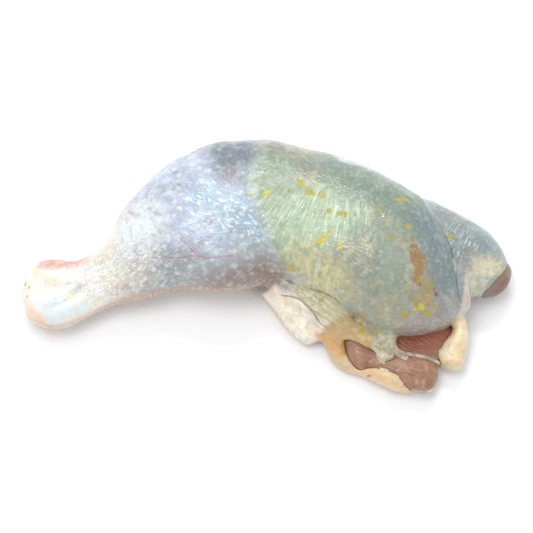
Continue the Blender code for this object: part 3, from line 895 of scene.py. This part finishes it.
def shaded(tree, colour, pattern, low, high, mask, cover, tint):
    """Tints the colour where a pattern runs from low to high, as far as its region's mask lets it."""
    ramp = {"Value": pattern, "From Min": low, "From Max": high, "To Max": cover}
    share = add_node(tree, "ShaderNodeMapRange", SMOOTH, ramp)
    kept = add_node(tree, "ShaderNodeMath", MULTIPLY, {0: share, 1: mask})
    mixed = {0: kept, 6: colour, 7: linear(tint)}
    return add_node(tree, "ShaderNodeMix", {"data_type": "RGBA"}, mixed).outputs[2]


def layered(tree, colour, layers, wobble, softness):
    """Lays tints over the colour where their attributes say, with edges that wander."""
    for name, tint, cover, roam in layers:
        mask = add_node(tree, "ShaderNodeAttribute", {"attribute_name": name}).outputs["Fac"]
        uneven = add_node(tree, "ShaderNodeMath", MULTIPLY_ADD, {0: wobble, 1: roam, 2: 1.0})
        moved = add_node(tree, "ShaderNodeMath", MULTIPLY, {0: mask, 1: uneven})
        colour = shaded(tree, colour, moved, 0.5 - softness, 0.5 + softness, 1.0, cover, tint)
    return colour


def bumped(tree, shader, reliefs):
    """Bends the shader's normals by the reliefs together: each a pattern, its mask and its height in mm."""
    height = 0.0
    for pattern, mask, rise in reliefs:
        kept = add_node(tree, "ShaderNodeMath", MULTIPLY, {0: pattern, 1: mask})
        height = add_node(tree, "ShaderNodeMath", MULTIPLY_ADD, {0: kept, 1: rise, 2: height})
    relief = {"Strength": 1.0, "Distance": 1.0 * MM, "Height": height}
    bump = add_node(tree, "ShaderNodeBump", None, relief).outputs[0]
    tree.links.new(bump, shader.inputs["Normal"])
    tree.links.new(bump, shader.inputs["Coat Normal"])


def grained(tree, place, sizes):
    """Noises about nought, one for each size of grain."""
    found = {}
    for name, size in sizes.items():
        drawn = {"Vector": place, "Scale": 1 / size, "Detail": 3.0}
        noise = add_node(tree, "ShaderNodeTexNoise", None, drawn)
        found[name] = add_node(tree, "ShaderNodeMath", SUBTRACT, {0: noise, 1: 0.5})
    return found


def wet(shader, roughness, depth, coat, coat_roughness):
    """The gloss and depth of wet raw meat; depth is how far light spreads under the surface."""
    shader.inputs["Roughness"].default_value = roughness
    shader.inputs["IOR"].default_value = 1.4
    shader.inputs["Subsurface Weight"].default_value = 0.2
    shader.inputs["Subsurface Radius"].default_value = (1.0, 0.6, 0.4)
    shader.inputs["Subsurface Scale"].default_value = depth
    shader.inputs["Coat Weight"].default_value = coat
    shader.inputs["Coat Roughness"].default_value = coat_roughness


def skin_material():
    """Raw chicken skin, plucked and wet: translucent, glossy, and uneven where fat lies under it."""
    made, tree, shader, place = new_material("raw chicken skin")
    masks = {"everywhere": 1.0}
    for name in SKIN_REGIONS:
        masks[name] = add_node(tree, "ShaderNodeAttribute", {"attribute_name": name}).outputs["Fac"]
    patterns = grained(tree, place, SKIN_GRAIN)
    patterns["follicle gap"] = masks["follicle gap"]
    for name, turn, length, width in SKIN_FOLDS:
        patterns[name] = streaked(tree, place, turn, length, width)
    rays = add_node(tree, "ShaderNodeAttribute", {"attribute_name": "rays"}).outputs["Vector"]
    for name, scale in (("ridge", 1.0), ("thin ridge", 2.1)):
        patterns[name] = crinkle(tree, {"Vector": rays, "Scale": scale, "Detail": 2.0, "Distortion": 0.4})
    cells = {"Vector": place, "Scale": 1 / PEBBLE, "Smoothness": 0.4}
    pebble = add_node(tree, "ShaderNodeTexVoronoi", {"feature": "SMOOTH_F1"}, cells)
    patterns["pebble"] = pebble.outputs["Distance"]
    # The edges of the tints wander slowly, and those of the small marks are ragged.
    slow = {0: patterns["drift"], 1: 1.2, 2: patterns["wander"]}
    edge = add_node(tree, "ShaderNodeMath", MULTIPLY_ADD, slow)
    ragged = add_node(tree, "ShaderNodeMath", ADD, {0: patterns["wander"], 1: patterns["fine"]})
    # Bare skin over fat, the tints of its regions, their patterns and the marks, painted shade and highlight
    # among them
    colour = shaded(tree, linear("#91967f"), patterns["drift"], -0.15, 0.15, 1.0, 1.0, "#a6a485")
    colour = layered(tree, colour, SKIN_LAYERS, edge, 0.42)
    for pattern, low, high, region, cover, tint in SKIN_RULES:
        colour = shaded(tree, colour, patterns[pattern], low, high, masks[region], cover, tint)
    colour = layered(tree, colour, SKIN_MARKS, ragged, 0.22)
    tree.links.new(colour, shader.inputs["Base Color"])
    bumped(tree, shader, [(patterns[name], masks[region], rise) for name, region, rise in SKIN_RELIEFS])
    wet(shader, roughness=0.42, depth=1.2 * MM, coat=1.0, coat_roughness=0.07)
    return made


def flesh_material():
    """Raw dark chicken meat: brownish red muscle in fine bundles, with whitish film on it, wet."""
    made, tree, shader, place = new_material("raw chicken meat")
    grain = grained(tree, place, {"blotch": 5 * MM, "film": 3.2 * MM, "fine": 1.0 * MM})
    fibre = streaked(tree, place, math.radians(-25), 7 * MM, 1.8 * MM)
    deep = add_node(tree, "ShaderNodeAttribute", {"attribute_name": "deep"}).outputs["Fac"]
    bare = add_node(tree, "ShaderNodeMath", SUBTRACT, {0: 1.0, 1: deep})
    colour = linear("#a67c5f")
    for rule in (
        # The valleys between the fibres are painted darker, as shade.
        (fibre, 0.5, 0.0, 1.0, 0.45, "#8f5d49"),
        (grain["blotch"], 0.0, -0.15, 1.0, 0.45, "#8b5644"),
        (grain["blotch"], 0.0, 0.15, bare, 0.5, "#b08a66"),
        (grain["film"], 0.06, 0.18, bare, 0.5, "#c6ab96"),
    ):
        colour = shaded(tree, colour, *rule)
    colour = layered(tree, colour, FLESH_LAYERS, grain["blotch"], 0.3)
    tree.links.new(colour, shader.inputs["Base Color"])
    bumped(tree, shader, [(fibre, 1.0, 0.25), (grain["film"], 1.0, 0.3), (grain["fine"], 1.0, 0.1)])
    wet(shader, roughness=0.42, depth=1.5 * MM, coat=0.5, coat_roughness=0.16)
    return made


def strip_material(name, light, dark, depth):
    """Wet tissue of its own: a film over the meat or a scrap of fat, paler in patches."""
    made, tree, shader, place = new_material(name)
    grain = grained(tree, place, {"mottle": 4 * MM, "fine": 0.8 * MM})
    colour = shaded(tree, linear(dark), grain["mottle"], -0.12, 0.12, 1.0, 1.0, light)
    tree.links.new(colour, shader.inputs["Base Color"])
    bumped(tree, shader, [(grain["mottle"], 1.0, 0.1), (grain["fine"], 1.0, 0.04)])
    wet(shader, roughness=0.45, depth=depth, coat=0.3, coat_roughness=0.2)
    return made


def board_material():
    """A matt white board, all but even."""
    made, tree, shader, place = new_material("matt white board")
    tooth = add_node(tree, "ShaderNodeTexNoise", None, {"Vector": place, "Scale": 1 / (1.5 * MM)})
    relief = {"Strength": 0.05, "Distance": 0.05 * MM, "Height": tooth}
    bump = add_node(tree, "ShaderNodeBump", None, relief).outputs[0]
    tree.links.new(bump, shader.inputs["Normal"])
    shader.inputs["Base Color"].default_value = linear("#fbfbfb")
    shader.inputs["Roughness"].default_value = 0.8
    shader.inputs["Specular IOR Level"].default_value = 0.1
    return made


# ---------------------------- the pieces


def finish_piece(piece):
    piece.data.shade_smooth()
    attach(piece, "root")


def make_skin():
    skin = even_copy("skin", "leg_skin", SKIN_CELL, SKIN_SMOOTHING)
    thin_out(skin, inner_wall(skin.data, FLESH_SURFACE), share=0.9)
    crease_skin(skin.data)
    press_flat(skin)
    mark_skin(skin.data)
    skin.data = run_tree(skin, relief_tree(), **RELIEF_SIZES, Seed=5, Material=skin_material())
    press_flat(skin)
    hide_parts("skin")
    finish_piece(skin)


def make_flesh():
    flesh = even_copy("flesh", "leg_flesh", FLESH_CELL, FLESH_SMOOTHING)
    x, y, z = (coordinates(flesh.data) / MM).T
    bare = np.maximum(soft_step(y, TORN_SIDE, TORN_SIDE - 5), in_oval(x, y, BARE_HIP, core=9 / 14))[:, None]
    move_vertices(flesh.data, coordinates(flesh.data) + vertex_normals(flesh.data) * bare * FLESH_SWELLING)
    press_flat(flesh)
    for name, patch in FLESH_PATCHES.items():
        keep_attribute(flesh.data, name, patch_mask(x, y, z, patch))
    flesh.data.materials.append(flesh_material())
    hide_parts("flesh")
    finish_piece(flesh)


def make_strips():
    """The loose films and scraps round the tear, each swept along its own line."""
    tree = strip_tree()
    finishes = {
        "membrane": strip_material("loose membrane", "#cdbfae", "#a58e7d", 0.8 * MM),
        "pale fat": strip_material("pale chicken fat", "#f1e8d0", "#dccfaa", 1.5 * MM),
    }
    for seed, (name, strip) in enumerate(STRIPS.items()):
        line = smooth_line(strip.points) * MM
        curve = bpy.data.curves.new(name, "CURVE")
        curve.dimensions = "3D"
        spline = curve.splines.new("POLY")
        spline.points.add(len(line) - 1)
        for point, place in zip(spline.points, line):
            point.co = (*place, 1)
        path = new_object(name + " path", curve)
        mesh = run_tree(
            path,
            tree,
            **{"Half width": strip.half_width * MM, "Half height": strip.half_height * MM},
            Waviness=strip.waviness * MM,
            Seed=seed,
            Material=finishes[strip.finish],
        )
        bpy.data.objects.remove(path)
        finish_piece(new_object(name, mesh))


# ---------------------------- the studio


def make_board():
    mesh = bpy.data.meshes.new("board")
    reach = 3.0
    corners = [(-reach, -reach, 0), (reach, -reach, 0), (reach, reach, 0), (-reach, reach, 0)]
    mesh.from_pydata(corners, [], [(0, 1, 2, 3)])
    board = new_object("board", mesh)
    board.data.materials.append(board_material())


def make_light(name, place, size, power, colour):
    data = bpy.data.lights.new(name, "AREA")
    data.shape = "RECTANGLE"
    data.size, data.size_y = size
    data.energy = power
    data.color = linear(colour)[:3]
    light = new_object(name, data)
    light.location = place
    light.rotation_euler = (LIGHT_TARGET - Vector(place)).to_track_quat("-Z", "Y").to_euler()


def make_lights():
    """A soft box over the far side of the leg, nearer the knuckle, and a pale room all round."""
    make_light("soft box", place=(-0.18, 0.08, 0.85), size=(0.45, 0.36), power=2.4, colour="#fbfdff")
    make_light("strip light", place=(0.0, 0.54, 0.68), size=(0.34, 0.10), power=2.0, colour="#eefaff")
    world = bpy.data.worlds.new("pale room")
    world.use_nodes = True
    bpy.context.scene.world = world
    background = world.node_tree.nodes["Background"]
    background.inputs["Color"].default_value = linear("#f8faff")
    background.inputs["Strength"].default_value = 0.84


def make_camera():
    data = bpy.data.cameras.new("camera")
    data.sensor_width = SENSOR
    data.lens = SENSOR * FOCAL_PIXELS / PHOTO_SIDE
    camera = new_object("camera", data)
    tilt = math.radians(CAMERA_HEIGHT_ANGLE)
    back = Vector((0, -math.cos(tilt), math.sin(tilt)))
    camera.location = CAMERA_TARGET + back * CAMERA_DISTANCE
    camera.rotation_euler = (-back).to_track_quat("-Z", "Y").to_euler()
    data.clip_start, data.clip_end = 0.01, 20
    bpy.context.scene.camera = camera


# ---------------------------- main

OUTER = surface_tree(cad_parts["skin"].data)
FLESH_SURFACE = surface_tree(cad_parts["flesh"].data)

make_camera()
make_skin()
make_flesh()
make_strips()
make_board()
make_lights()
bpy.context.scene.view_settings.view_transform = "Standard"
